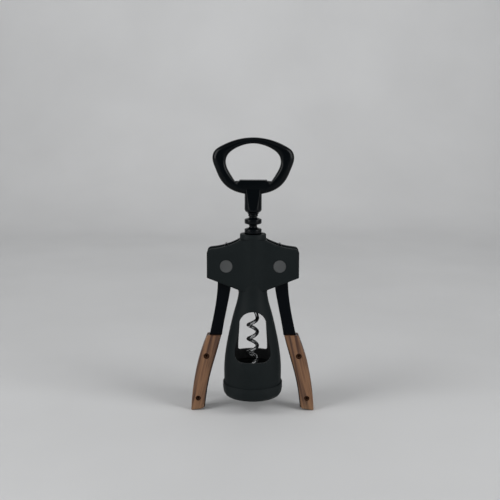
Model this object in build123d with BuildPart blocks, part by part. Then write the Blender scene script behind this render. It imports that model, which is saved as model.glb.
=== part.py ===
"""A wing corkscrew: two geared levers lift a ring-toothed rack, and a worm with it, out of a bell.

The bell stands over the neck of the bottle. Turning the ring handle drives the worm down and the
levers up. Pressing the levers down draws the rack, the worm and the cork back up. The rack's teeth
are plain rings, so that it can turn and still stay in mesh with both levers.

Millimetres. +Z is up, Z = 0 is the mouth of the bell, the axis of the worm is X = Y = 0, and the
front is -Y. The levers swing in the XZ plane. Shapes of the two sides are drawn with "out", the
distance from the axis, and a side of -1 for left or +1 for right.
"""
from build123d import *
from math import acos, cos, pi, radians, sin, tan
import os

os.makedirs("parts", exist_ok=True)

# Driving dimensions
SIDES = {"left": -1, "right": 1}
FACES = {"front": -1, "back": 1}

# bell, column and cheeks
BELL_R = 20.4  # outside, at the straight foot
BELL_WALL = 2.5
BELL_FOOT_Z = 2.5  # the rim stands in the channel of the base ring
WAIST_R = 9.9
WAIST_Z = 76.0
FOOT_TOP_Z = 17.0  # the bell is straight below it
COLUMN_FOOT_Z = 82.0
BORE_R = 6.15  # the rack runs in it
LINER_R = BELL_R - BELL_WALL  # the bell's straight inside, which the base ring fills
LINER_TOP_Z = 21.0
CAVITY_TOP_Z = 66.5
# the bell's outside and hollow as (radius, height)
BELL_OUTSIDE = ((BELL_R, FOOT_TOP_Z), (18.9, 34.5), (16.5, 47.0), (13.1, 61.0), (WAIST_R, WAIST_Z))
BELL_INSIDE = ((LINER_R, LINER_TOP_Z), (16.4, 34.5), (14.0, 47.0), (10.7, 61.0), (8.9, CAVITY_TOP_Z))
COLUMN_R = 9.1
COLUMN_TOP_Z = 113.6
COLUMN_EDGE = 1.3  # the cheeks stop this far below the column's top
CHEEK_HALF_Y = 7.4
CHEEK_OUT = 32.1
CHEEK_LOW_Z = 70.0
# half outline of the cheeks as (out, height): the hollow shoulder, then the end and the under edge
SHOULDER = ((8.8, 112.3), (16.1, 108.9), (28.1, 106.1))
CHEEK_END = ((28.1, 106.1), (CHEEK_OUT, 105.6), (CHEEK_OUT, 85.7), (9.0, 76.6))
SHOULDER_ROUND = 3.0
UNDER_ROUND = 1.2
SLOT_HALF_Y = 3.3
COLUMN_BLEND = 40.0  # hollow that runs the column out into the flat cheeks
EDGE_ROUND = 1.1
ROUNDED_FROM_OUT = 12.0  # the cheeks' outer edges are rounded from here outwards
SLOT_IN = 9.8
SLOT_BOTTOM_Z = 76.5
SLOT_ROOM = 0.5  # round the gear's teeth
HEAD_R = 9.4  # round head of the windows
HEAD_Z = 53.2
SILL_Z = 27.5
FRONT_WINDOW = (12.5, 5.0)  # half width at the sill and corner radius
BACK_WINDOW = (10.5, 1.5)
# the slope of the front sill as (distance in front of the axis, height)
SCOOP_FOOT = (20.15, 21.8)
SCOOP_HEAD = (17.7, 29.0)
BUSH_R = 7.5
BUSH_BOTTOM_Z = 107.0
BUSH_BORE_R = 6.03
COLLAR_R = 9.05
COLLAR_TOP_Z = 116.1
CAP_R = 4.5
CAP_DEPTH = 1.4
CAP_SUNK = 0.25
CAP_GAP = 0.03
CAP_ROUND = 0.25

# levers, gear and rack
PIVOT_OUT = 18.6
PIVOT_Z = 94.0
PIN_R = 2.5
RUNNING_GAP = 0.05
LEVER_HALF_Y = 3.0
TANG_HALF_Y = 1.5
TANG_PROUD = 0.6
RACK_PITCH = 6.85
GEAR_TEETH = 12  # in a full turn
GEAR_SECTOR_TEETH = 5
GEAR_TIP_R = 15.35
GEAR_ROOT_R = 12.2
GEAR_OVERRUN = 0.25  # how far in radians the gear's body runs past its end teeth
TOOTH_ROOTED = 1.0  # how deep a tooth stands in the gear's body
HUB_R = 8.0
GEAR_PITCH_R = GEAR_TEETH * RACK_PITCH / (2 * pi)
PRESSURE_ANGLE = radians(20)
GEAR_BASE_R = GEAR_PITCH_R * cos(PRESSURE_ANGLE)
FLANK_RADII = (GEAR_BASE_R + 0.01, GEAR_PITCH_R + 0.4, GEAR_TIP_R)
BACKLASH = 0.4
RING_R = 5.95
RING_CORE_R = 2.75
RING_RIM = 2.9  # thickness of a ring at its rim
RING_COUNT = 6
TOP_RING_Z = PIVOT_Z + (RING_COUNT - 1.5) * RACK_PITCH  # a gap faces the pivots at rest
RACK_BOTTOM_Z = 84.0
RACK_TOP_Z = 129.8
RACK_HEAD_R = 3.4
RACK_HEAD_TALL = 1.6

# worm and ring handle
WIRE_R = 1.32
WORM_R = 3.2  # centre line of the helix
WORM_PITCH = 10.1
WORM_RIGHT_Z = 35.1  # a height at which the helix is furthest to the right
WORM_TIP_Z = 20.4
WORM_TOP_Z = 54.5
SHANK_Z = 66.0
SHANK_TOP_Z = 141.0
TIP_TALL = 2.4
TIP_STEPS = 4
BEAD_R = 2.2
BEAD_TALL = 0.8
NECK_R = 5.95
NECK_BOTTOM_Z = 129.9
NECK_LIP = ((3.8, 130.8), (5.3, 131.6), (NECK_R, 133.0))  # rounded lower end, from its small foot up
NECK_TOP_Z = 149.0
NECK_FLAT_Z = (131.5, 147.5)  # the flats slope in from the full neck to the ring's thickness
RING_OUTER_ROUND = 2.4
RING_INNER_ROUND = 1.4
HANDLE_PIN_Z = 137.5
HANDLE_PIN_R = 0.75
TONGUE_OUT = 9.6  # the flat lip that catches a crown cap
TONGUE_Z = 153.6
RING_HALF_Y = 3.5
# half outlines of the ring as (out, height): the outside from the neck up, the hole from the top down
RING_OUTSIDE = (
    (5.95, 144.2), (12.9, 146.3), (19.6, 150.6), (24.9, 158.8), (27.9, 169.9), (24.8, 175.3),
    (12.9, 180.9), (0, 182.7),
)
RING_HOLE = ((0, 178.6), (9.5, 177.1), (16.9, 172.6), (19.3, 167.3), (16.7, 159.1), (12.7, 152.8))

# wooden handles
SCALE_THICK = 3.4
SCALE_CHAMFER = 0.9
HANDLE_TIP_ROUND = 1.0
RIVETS = ((32.8, 28.5, 2.15), (38.9, -2.8, 1.95))  # out, height, radius
RIVET_SUNK = 0.6
DIMPLE_SHARE = 0.5  # of a rivet's radius
DIMPLE_DEPTH = 0.8
# outlines of arm and handle as (out, height), from top to tip
ARM_OUTER = ((25.2, 94.0), (24.7, 80.5), (26.2, 66.0), (30.6, 43.6))
ARM_INNER = ((14.4, 90.0), (15.2, 80.5), (17.3, 68.0), (21.8, 43.6))
HANDLE_OUTER = ((32.4, 43.6), (37.8, 28.4), (41.6, 11.4), (43.5, -3.6), (44.2, -12.2))
HANDLE_INNER = ((22.2, 43.6), (26.9, 28.4), (31.5, 11.4), (34.1, -3.6), (34.9, -10.6))

# base ring and bottle seat
BOTTLE_R = 15.5
SEAT_Z = 18.0
SEAT_THICK = 2.5
SEAT_HOLE_R = 12.2  # a drawn cork passes
BAND_R = 21.3
BAND_TOP_Z = 9.1


def save(piece, name):
    """Label a finished piece and write it as the STEP file of its node."""
    piece.part.label = name
    export_step(piece.part, f"parts/{name}.step")


def mirrored(points, side):
    """Turn (out, height) pairs into points of the XZ plane on one side."""
    return [(side * out, height) for out, height in points]


# ---------------------------------------------------------------- body frame


def window_outline(half, corner_r):
    """Sketch an arched window: a round head, sides that spread to half, and a level sill."""
    with BuildSketch(Plane.XZ) as window:
        with BuildLine():
            RadiusArc((-HEAD_R, HEAD_Z), (HEAD_R, HEAD_Z), HEAD_R)
            for side in SIDES.values():
                corner = (side * half, SILL_Z + corner_r)
                Spline((side * HEAD_R, HEAD_Z), corner, tangents=((0, -1), (0, -1)))
                JernArc(corner, (0, -1), corner_r, -90 * side)
            Line((corner_r - half, SILL_Z), (half - corner_r, SILL_Z))
        make_face()
    return window.sketch


def cheek_outline():
    """Sketch the winged plate: hollow shoulders, upright ends and a tapered under edge."""
    with BuildSketch(Plane.XZ) as plate:
        with BuildLine():
            for side in SIDES.values():
                ThreePointArc(*mirrored(SHOULDER, side))
                Polyline(*mirrored(CHEEK_END, side))
            Line(*[mirrored(SHOULDER, side)[0] for side in SIDES.values()])
            Line(*[mirrored(CHEEK_END, side)[-1] for side in SIDES.values()])
        make_face()
        ends = plate.vertices().filter_by(lambda corner: abs(corner.X) > CHEEK_OUT - 0.1)
        fillet(ends.group_by(Axis.Y)[-1], SHOULDER_ROUND)
        fillet(ends.group_by(Axis.Y)[0], UNDER_ROUND)
    return plate.sketch


def slot_outline(side):
    """Sketch the room that one lever swings in: round its gear, and open above, beside and below."""
    with BuildSketch(Plane.XZ) as slot:
        with Locations((side * PIVOT_OUT, PIVOT_Z)):
            Circle(GEAR_TIP_R + SLOT_ROOM)
        with Locations((side * SLOT_IN, SLOT_BOTTOM_Z)):
            Rectangle(30, 50, align=(Align.MAX if side < 0 else Align.MIN, Align.MIN))
    return slot.sketch


with BuildPart() as cheeks:
    # the plan of column and cheeks, with soft corners where they meet, cut to the winged outline
    with BuildSketch(Plane.XY.offset(CHEEK_LOW_Z)) as plan:
        Rectangle(2 * CHEEK_OUT, 2 * CHEEK_HALF_Y)
        Circle(COLUMN_R)
        inner_corners = plan.vertices().filter_by(lambda corner: abs(corner.X) < COLUMN_R)
        fillet(inner_corners, COLUMN_BLEND)
    extrude(amount=COLUMN_TOP_Z - COLUMN_EDGE - CHEEK_LOW_Z)
    extrude(cheek_outline(), amount=2 * CHEEK_HALF_Y, both=True, mode=Mode.INTERSECT)
    flats = cheeks.faces().filter_by(Axis.Y)
    rims = flats.edges().filter_by(lambda edge: abs(edge.center().X) > ROUNDED_FROM_OUT)
    fillet(rims, EDGE_ROUND)

with BuildPart() as body_frame:
    with BuildSketch(Plane.XZ):
        with BuildLine():
            Polyline((0, BELL_FOOT_Z), (BELL_R - 0.1, BELL_FOOT_Z), (BELL_R, FOOT_TOP_Z))
            Spline(*BELL_OUTSIDE, tangents=((0, 1), (-0.08, 1)))
            Polyline(
                (WAIST_R, WAIST_Z), (COLUMN_R, COLUMN_FOOT_Z), (COLUMN_R, COLUMN_TOP_Z),
                (0, COLUMN_TOP_Z), (0, BELL_FOOT_Z),
            )
        make_face()
    revolve(axis=Axis.Z)
    add(cheeks.part)
    # the bore of the rack and the hollow of the bell
    with BuildSketch(Plane.XZ):
        with BuildLine():
            Polyline((0, 0), (LINER_R, 0), BELL_INSIDE[0])
            Spline(*BELL_INSIDE, tangents=((0, 1), (-0.3, 1)))
            Polyline(
                BELL_INSIDE[-1], (BORE_R, CAVITY_TOP_Z + 2.0), (BORE_R, BUSH_BOTTOM_Z),
                (BUSH_R, BUSH_BOTTOM_Z), (BUSH_R, COLUMN_TOP_Z), (0, COLUMN_TOP_Z), (0, 0),
            )
        make_face()
    revolve(axis=Axis.Z, mode=Mode.SUBTRACT)
    for side in SIDES.values():
        extrude(slot_outline(side), amount=SLOT_HALF_Y, both=True, mode=Mode.SUBTRACT)
    extrude(window_outline(*FRONT_WINDOW), amount=30, mode=Mode.SUBTRACT)
    extrude(window_outline(*BACK_WINDOW), amount=-30, mode=Mode.SUBTRACT)
    # the front sill is sloped outwards, which leaves a smile-shaped scoop below the window
    with BuildSketch(Plane.YZ):
        slope = [(-ahead, height) for ahead, height in (SCOOP_FOOT, SCOOP_HEAD)]
        outside = [(-BELL_R - 2, height) for _, height in (SCOOP_HEAD, SCOOP_FOOT)]
        Polygon(*slope, *outside, align=None)
    extrude(amount=FRONT_WINDOW[0], both=True, mode=Mode.SUBTRACT)
    for side in SIDES.values():
        for face in FACES.values():
            with Locations(Location((side * PIVOT_OUT, face * CHEEK_HALF_Y, PIVOT_Z), (face * -90, 0, 0))):
                CounterBoreHole(PIN_R, CAP_R, CAP_DEPTH, depth=CHEEK_HALF_Y)
save(body_frame, "body_frame")


# ---------------------------------------------------------------- base ring and guide bush

with BuildPart() as base_ring:
    # a channel for the bell's rim between the outer band and the liner that seats the bottle
    with BuildSketch(Plane.XZ):
        with BuildLine():
            ThreePointArc((19.5, 0), (20.8, 2.2), (BAND_R, 5.6))
            Polyline(
                (BAND_R, 5.6), (BAND_R - 0.1, BAND_TOP_Z), (BELL_R + 0.02, BAND_TOP_Z),
                (BELL_R + 0.02, BELL_FOOT_Z), (LINER_R - 0.05, BELL_FOOT_Z),
                (LINER_R - 0.05, SEAT_Z + SEAT_THICK), (SEAT_HOLE_R, SEAT_Z + SEAT_THICK),
                (SEAT_HOLE_R, SEAT_Z), (BOTTLE_R, SEAT_Z), (BOTTLE_R, 0), (19.5, 0),
            )
        make_face()
    revolve(axis=Axis.Z)
save(base_ring, "base_ring")

with BuildPart() as guide_bush:
    with BuildSketch(Plane.XZ):
        with BuildLine():
            Polyline(
                (BUSH_BORE_R, BUSH_BOTTOM_Z), (BUSH_R - 0.02, BUSH_BOTTOM_Z), (BUSH_R - 0.02, COLUMN_TOP_Z),
                (COLLAR_R, COLUMN_TOP_Z), (COLLAR_R, COLLAR_TOP_Z), (BUSH_BORE_R, COLLAR_TOP_Z),
                (BUSH_BORE_R, BUSH_BOTTOM_Z),
            )
        make_face()
    revolve(axis=Axis.Z)
    rim = guide_bush.edges().filter_by(GeomType.CIRCLE).group_by(Axis.Z)[-1]
    fillet(rim, 0.5)
save(guide_bush, "guide_bush")


# ---------------------------------------------------------------- rack, worm and ring handle

with BuildPart() as rack_sleeve:
    # one revolved profile: a core with a tapered tooth ring at every pitch
    half_rim = RING_RIM / 2
    half_foot = half_rim + (RING_R - RING_CORE_R) * tan(PRESSURE_ANGLE)
    with BuildSketch(Plane.XZ):
        with Locations((0, RACK_BOTTOM_Z)):
            Rectangle(RING_CORE_R, RACK_TOP_Z - RACK_BOTTOM_Z, align=Align.MIN)
        with Locations((0, RACK_TOP_Z)):
            Rectangle(RACK_HEAD_R, RACK_HEAD_TALL, align=(Align.MIN, Align.MAX))
        for index in range(RING_COUNT):
            ring_z = TOP_RING_Z - index * RACK_PITCH
            with BuildLine():
                Polyline(
                    (0, ring_z - half_foot), (RING_CORE_R, ring_z - half_foot),
                    (RING_R, ring_z - half_rim), (RING_R, ring_z + half_rim),
                    (RING_CORE_R, ring_z + half_foot), (0, ring_z + half_foot),
                    close=True,
                )
            make_face()
    revolve(axis=Axis.Z)
    rims = rack_sleeve.edges().filter_by(GeomType.CIRCLE).group_by(SortBy.RADIUS)[-1]
    fillet(rims, 0.35)
    Cylinder(WIRE_R + RUNNING_GAP, 3 * RACK_TOP_Z, mode=Mode.SUBTRACT)
save(rack_sleeve, "rack_sleeve")


def turn_at(height):
    """The helix's turn in radians from +X towards +Y at a height."""
    return 2 * pi * (height - WORM_RIGHT_Z) / WORM_PITCH


def worm_point(height):
    """A point on the centre line of the helix."""
    return Vector(WORM_R * cos(turn_at(height)), WORM_R * sin(turn_at(height)), height)


def worm_direction(height):
    """The direction in which the helix climbs at a height."""
    rise = WORM_PITCH / (2 * pi)
    return Vector(-WORM_R * sin(turn_at(height)), WORM_R * cos(turn_at(height)), rise).normalized()


start = worm_point(WORM_TIP_Z + TIP_TALL)
coil = Plane((0, 0, start.Z), x_dir=(start.X, start.Y, 0)) * Helix(WORM_PITCH, WORM_TOP_Z - start.Z, WORM_R)

with BuildPart() as worm:
    # a round wire: a helix, a bend that brings it to the axis, and a straight shank
    with BuildLine() as wire:
        add(coil)
        Spline(coil @ 1, (0, 0, SHANK_Z), tangents=(coil % 1, (0, 0, 1)))
        Line((0, 0, SHANK_Z), (0, 0, SHANK_TOP_Z))
    with BuildSketch(Plane(coil @ 0, z_dir=coil % 0)):
        Circle(WIRE_R)
    sweep(path=wire.wire())
    # the ground point: the wire tapers along its last stretch
    for step in range(TIP_STEPS + 1):
        height = start.Z - TIP_TALL * step / TIP_STEPS
        with BuildSketch(Plane(worm_point(height), z_dir=worm_direction(height))):
            Circle(WIRE_R * (1 - 0.8 * (step / TIP_STEPS) ** 1.3))
    loft()
    # the upset bead that the rack stands on
    with Locations((0, 0, RACK_BOTTOM_Z - BEAD_TALL - RUNNING_GAP)):
        Cylinder(BEAD_R, BEAD_TALL, align=(Align.CENTER, Align.CENTER, Align.MIN))
    with Locations(Location((0, 0, HANDLE_PIN_Z), (0, 90, 0))):
        Cylinder(HANDLE_PIN_R, 4 * WIRE_R, mode=Mode.SUBTRACT)
save(worm, "worm")

with BuildPart() as ring_handle:
    # the ring: a shield outline with a D-shaped hole, and a flat tongue that lifts crown caps
    with BuildSketch(Plane.XZ.offset(-RING_HALF_Y)):
        with BuildLine():
            for side in SIDES.values():
                Spline(*mirrored(RING_OUTSIDE, side), tangents=((side, 0.1), (-side, 0)))
            Line(*[mirrored(RING_OUTSIDE, side)[0] for side in SIDES.values()])
        make_face()
        with BuildLine():
            for side in SIDES.values():
                Spline(*mirrored(RING_HOLE, side), tangents=((side, 0), (-side * 0.5, -0.8)))
                tongue_foot = (side * TONGUE_OUT, RING_HOLE[-1][1])
                Polyline(mirrored(RING_HOLE, side)[-1], tongue_foot, (side * TONGUE_OUT, TONGUE_Z))
            Line((-TONGUE_OUT, TONGUE_Z), (TONGUE_OUT, TONGUE_Z))
        make_face(mode=Mode.SUBTRACT)
    extrude(amount=2 * RING_HALF_Y)
    curves = ring_handle.edges().filter_by(GeomType.BSPLINE).group_by(SortBy.LENGTH)
    fillet(curves[-1], RING_OUTER_ROUND)
    fillet(curves[0], RING_INNER_ROUND)
    # the neck takes the worm's shank; sloping flats run its front and back out into the ring
    with BuildPart(mode=Mode.PRIVATE) as neck:
        with BuildSketch(Plane.XZ):
            with BuildLine():
                Polyline((0, NECK_TOP_Z), (0, NECK_BOTTOM_Z), (NECK_LIP[0][0], NECK_BOTTOM_Z), NECK_LIP[0])
                ThreePointArc(*NECK_LIP)
                Polyline(NECK_LIP[-1], (NECK_R, NECK_TOP_Z), (0, NECK_TOP_Z))
            make_face()
        revolve(axis=Axis.Z)
        with BuildSketch(Plane.YZ):
            for face in FACES.values():
                low, high = NECK_FLAT_Z
                Polygon(
                    (face * NECK_R, low), (face * 2 * NECK_R, low), (face * 2 * NECK_R, NECK_TOP_Z + 1),
                    (face * RING_HALF_Y, NECK_TOP_Z + 1), (face * RING_HALF_Y, high), align=None,
                )
        extrude(amount=NECK_R + 1, both=True, mode=Mode.SUBTRACT)
    add(neck.part)
    with Locations((0, 0, NECK_BOTTOM_Z)):
        Cylinder(
            WIRE_R + 0.02, SHANK_TOP_Z - NECK_BOTTOM_Z, align=(Align.CENTER, Align.CENTER, Align.MIN),
            mode=Mode.SUBTRACT,
        )
    with Locations(Location((0, 0, HANDLE_PIN_Z), (0, 90, 0))):
        Cylinder(HANDLE_PIN_R, 4 * NECK_R, mode=Mode.SUBTRACT)
save(ring_handle, "ring_handle")

with BuildPart() as handle_pin:
    with Locations(Location((0, 0, HANDLE_PIN_Z), (0, 90, 0))):
        Cylinder(HANDLE_PIN_R, 2 * NECK_R - 0.3)
save(handle_pin, "handle_pin")


# ---------------------------------------------------------------- levers


def gear_point(side, radius, angle):
    """A point of the gear, its angle counted upwards from the line that points at the rack."""
    return (side * (PIVOT_OUT - radius * cos(angle)), PIVOT_Z + radius * sin(angle))


def tooth_half_angle(radius):
    """Half the angle that an involute tooth fills at a radius, thinned by half the backlash."""
    rack_tooth = RING_RIM + 2 * tan(PRESSURE_ANGLE) * (RING_R - (PIVOT_OUT - GEAR_PITCH_R))
    half_at_pitch = (RACK_PITCH - rack_tooth - BACKLASH) / (2 * GEAR_PITCH_R)
    there = acos(GEAR_BASE_R / radius)
    return half_at_pitch + (tan(PRESSURE_ANGLE) - PRESSURE_ANGLE) - (tan(there) - there)


def handle_outline(side, proud=0.0):
    """Sketch the swept handle, its inner edge standing proud by the amount given below its top."""
    inner = [HANDLE_INNER[0]] + [(out - proud, height) for out, height in HANDLE_INNER[1:]]
    with BuildSketch(Plane.XZ) as handle:
        with BuildLine():
            Spline(*mirrored(HANDLE_OUTER, side))
            Spline(*mirrored(inner, side))
            for end in (0, -1):
                Line(mirrored(HANDLE_OUTER, side)[end], mirrored(inner, side)[end])
        make_face()
        fillet(handle.vertices().sort_by(Axis.Y)[:2], HANDLE_TIP_ROUND)
    return handle.sketch


TOOTH_TURN = 2 * pi / GEAR_TEETH
GEAR_LOW = -TOOTH_TURN - GEAR_OVERRUN
GEAR_HIGH = (GEAR_SECTOR_TEETH - 2) * TOOTH_TURN + GEAR_OVERRUN

for hand, side in SIDES.items():
    with BuildPart() as lever:
        with BuildSketch(Plane.XZ):
            with Locations((side * PIVOT_OUT, PIVOT_Z)):
                Circle(HUB_R)
            with BuildLine():
                Line((side * PIVOT_OUT, PIVOT_Z), gear_point(side, GEAR_ROOT_R, GEAR_LOW))
                ends = (GEAR_LOW, (GEAR_LOW + GEAR_HIGH) / 2, GEAR_HIGH)
                ThreePointArc(*[gear_point(side, GEAR_ROOT_R, at) for at in ends])
                Line(gear_point(side, GEAR_ROOT_R, GEAR_HIGH), (side * PIVOT_OUT, PIVOT_Z))
            make_face()
            for index in range(GEAR_SECTOR_TEETH):
                middle = (index - 1) * TOOTH_TURN
                with BuildLine():
                    for flank in (-1, 1):
                        edge = [middle + flank * tooth_half_angle(radius) for radius in FLANK_RADII]
                        foot = gear_point(side, GEAR_ROOT_R - TOOTH_ROOTED, edge[0])
                        Line(foot, gear_point(side, FLANK_RADII[0], edge[0]))
                        ThreePointArc(*[gear_point(side, radius, at) for radius, at in zip(FLANK_RADII, edge)])
                    tip = [middle + part * tooth_half_angle(GEAR_TIP_R) for part in (-1, 0, 1)]
                    ThreePointArc(*[gear_point(side, GEAR_TIP_R, at) for at in tip])
                    feet = [middle + part * tooth_half_angle(FLANK_RADII[0]) for part in (-1, 1)]
                    Line(*[gear_point(side, GEAR_ROOT_R - TOOTH_ROOTED, at) for at in feet])
                make_face()
            with BuildLine():
                Spline(*mirrored(ARM_OUTER, side))
                Spline(*mirrored(ARM_INNER, side))
                for end in (0, -1):
                    Line(mirrored(ARM_OUTER, side)[end], mirrored(ARM_INNER, side)[end])
            make_face()
        extrude(amount=LEVER_HALF_Y, both=True)
        # the thin tang between the wooden scales
        extrude(handle_outline(side, TANG_PROUD), amount=TANG_HALF_Y, both=True)
        with Locations(Location((side * PIVOT_OUT, 0, PIVOT_Z), (90, 0, 0))):
            Cylinder(PIN_R + RUNNING_GAP, 4 * LEVER_HALF_Y, mode=Mode.SUBTRACT)
        for out, height, radius in RIVETS:
            with Locations(Location((side * out, 0, height), (90, 0, 0))):
                Cylinder(radius, 4 * LEVER_HALF_Y, mode=Mode.SUBTRACT)
    save(lever, f"{hand}_lever")

    for end, face in FACES.items():
        with BuildPart() as scale:
            with BuildSketch(Plane.XZ.offset(-face * TANG_HALF_Y)):
                add(handle_outline(side))
            extrude(amount=-face * SCALE_THICK)
            outer_face = scale.faces().sort_by(Axis.Y)[0 if face < 0 else -1]
            chamfer(outer_face.edges().filter_by(GeomType.BSPLINE), SCALE_CHAMFER)
            for out, height, radius in RIVETS:
                with Locations(Location((side * out, 0, height), (90, 0, 0))):
                    Cylinder(radius, 40, mode=Mode.SUBTRACT)
        save(scale, f"{hand}_{end}_scale")

    for place, (out, height, radius) in zip(("upper", "lower"), RIVETS):
        with BuildPart() as rivet:
            half = TANG_HALF_Y + SCALE_THICK - RIVET_SUNK
            with Locations(Location((side * out, 0, height), (90, 0, 0))):
                Cylinder(radius, 2 * half)
            for face in FACES.values():
                with Locations(Location((side * out, face * half, height), (face * -90, 0, 0))):
                    Hole(radius * DIMPLE_SHARE, depth=DIMPLE_DEPTH)
        save(rivet, f"{hand}_{place}_rivet")

    with BuildPart() as pivot_pin:
        with Locations(Location((side * PIVOT_OUT, 0, PIVOT_Z), (90, 0, 0))):
            Cylinder(PIN_R, 2 * (CHEEK_HALF_Y - CAP_DEPTH))
        chamfer(pivot_pin.edges().filter_by(GeomType.CIRCLE), 0.3)
    save(pivot_pin, f"{hand}_pivot_pin")

    for end, face in FACES.items():
        with BuildPart() as cap:
            cap_y = face * (CHEEK_HALF_Y - CAP_DEPTH)
            with BuildSketch(Plane.XZ.offset(-cap_y)):
                with Locations((side * PIVOT_OUT, PIVOT_Z)):
                    Circle(CAP_R - CAP_GAP)
            extrude(amount=-face * (CAP_DEPTH - CAP_SUNK))
            outer_face = cap.faces().sort_by(Axis.Y)[0 if face < 0 else -1]
            fillet(outer_face.edges(), CAP_ROUND)
        save(cap, f"{hand}_{end}_cap")
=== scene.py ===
"""The looks of a wing corkscrew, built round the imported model.

Metres. +Z is up, the front is -Y, and the axis of the worm is X = Y = 0, as in the model. Shapes
of the two sides are given with "out", the distance from that axis. A surface is worked out on a
grid of two parameters, as whole arrays, and each class is one sub-assembly with its sizes as
fields.
"""
import logging
import math
from collections.abc import Callable, Sequence
from dataclasses import dataclass, field
from enum import Enum

import bmesh
import bpy
import numpy as np
from mathutils import Euler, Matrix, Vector


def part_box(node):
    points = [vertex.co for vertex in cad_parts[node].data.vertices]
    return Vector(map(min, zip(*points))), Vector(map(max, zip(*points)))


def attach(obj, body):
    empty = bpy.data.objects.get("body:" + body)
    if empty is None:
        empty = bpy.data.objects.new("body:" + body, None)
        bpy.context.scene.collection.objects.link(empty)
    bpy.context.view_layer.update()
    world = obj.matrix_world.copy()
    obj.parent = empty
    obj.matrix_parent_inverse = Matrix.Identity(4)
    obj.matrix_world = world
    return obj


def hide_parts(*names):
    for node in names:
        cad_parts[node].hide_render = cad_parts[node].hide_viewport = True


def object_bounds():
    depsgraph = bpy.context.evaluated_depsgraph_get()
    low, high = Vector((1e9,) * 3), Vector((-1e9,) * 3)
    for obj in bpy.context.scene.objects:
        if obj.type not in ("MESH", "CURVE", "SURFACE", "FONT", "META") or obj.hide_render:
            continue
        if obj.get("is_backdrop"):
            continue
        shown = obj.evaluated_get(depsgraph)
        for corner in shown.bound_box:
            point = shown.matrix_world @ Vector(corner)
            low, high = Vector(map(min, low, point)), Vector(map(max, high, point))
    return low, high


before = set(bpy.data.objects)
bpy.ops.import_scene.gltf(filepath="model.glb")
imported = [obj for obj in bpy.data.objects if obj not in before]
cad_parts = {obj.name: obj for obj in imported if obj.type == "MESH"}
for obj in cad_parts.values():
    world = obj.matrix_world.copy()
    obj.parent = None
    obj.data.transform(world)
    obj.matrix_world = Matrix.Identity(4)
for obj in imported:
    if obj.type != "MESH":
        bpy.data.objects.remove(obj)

log = logging.getLogger("corkscrew")

Grid = np.ndarray
Profile = np.ndarray
Colour = tuple[float, float, float]
Outline = tuple[tuple[float, float], ...]
Place = tuple[float, float, float]
Socket = bpy.types.NodeSocket

POLE = 0.0001  # the radius at which a turned profile closes on its axis
WELD = 2e-6  # how far apart corners of the model's loose triangles may be and still be one
SEAM = 1e-7  # the same for a new piece
FLAT_WITHIN = math.radians(0.5)  # triangles that differ by less are one flat face
ROUNDED_FROM = math.radians(30)  # edges of this angle and more are rounded
CRISP_FROM = 60.0  # degrees from which an edge of a large, plain piece stays crisp
MOST_REACH = 0.45  # of a line's length that one softened corner may take up
SPLINE_DETAIL = 16  # points worked out for each one kept
TURN_LARGE, TURN_USUAL, TURN_DISC, TURN_SMALL = 128, 96, 64, 48  # segments of a turned piece
MIDDLE = (0.0, 0.0, 0.1044)  # what the camera and the lamps in front point at


class Side(Enum):
    """The two levers, by the sign of X."""

    LEFT = -1
    RIGHT = 1


class Face(Enum):
    """Front and back, by the sign of Y."""

    FRONT = -1
    BACK = 1


class Body(Enum):
    """The moving bodies of the model."""

    FRAME = "frame"
    LEFT_LEVER = "left_lever_body"
    RIGHT_LEVER = "right_lever_body"
    RACK = "rack"
    SPINDLE = "spindle"


# ---------------------------------------------------------------- curves and surfaces


def rounded(
    points: Sequence[Sequence[float]], radius: float, closed: bool = True, steps: int = 5,
) -> Profile:
    """Soften the corners of a run of straight lines.

    Each corner c becomes the curve (1-t)²·a + 2t(1-t)·c + t²·b, which leaves the line at a and
    meets the next at b. Both are the radius away from c, or MOST_REACH of the line if less.

    Args:
        points: The corners in order, as pairs.
        radius: How far before and after each corner the curve reaches.
        closed: Whether the last corner joins the first.
        steps: Stretches in one curve.

    Returns:
        The softened run, one pair a row.
    """
    corner = np.asarray(points, float)
    ends = []
    for shift in (1, -1):
        line = np.roll(corner, shift, axis=0) - corner
        length = np.linalg.norm(line, axis=1)
        ends.append(corner + line * (np.minimum(radius, MOST_REACH * length) / length)[:, None])
    start, end = ends
    t = np.linspace(0, 1, steps + 1)[None, :, None]
    curve = (1 - t) ** 2 * start[:, None] + 2 * t * (1 - t) * corner[:, None] + t**2 * end[:, None]
    if closed:
        return curve.reshape(-1, 2)
    return np.vstack((corner[:1], curve[1:-1].reshape(-1, 2), corner[-1:]))


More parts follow.
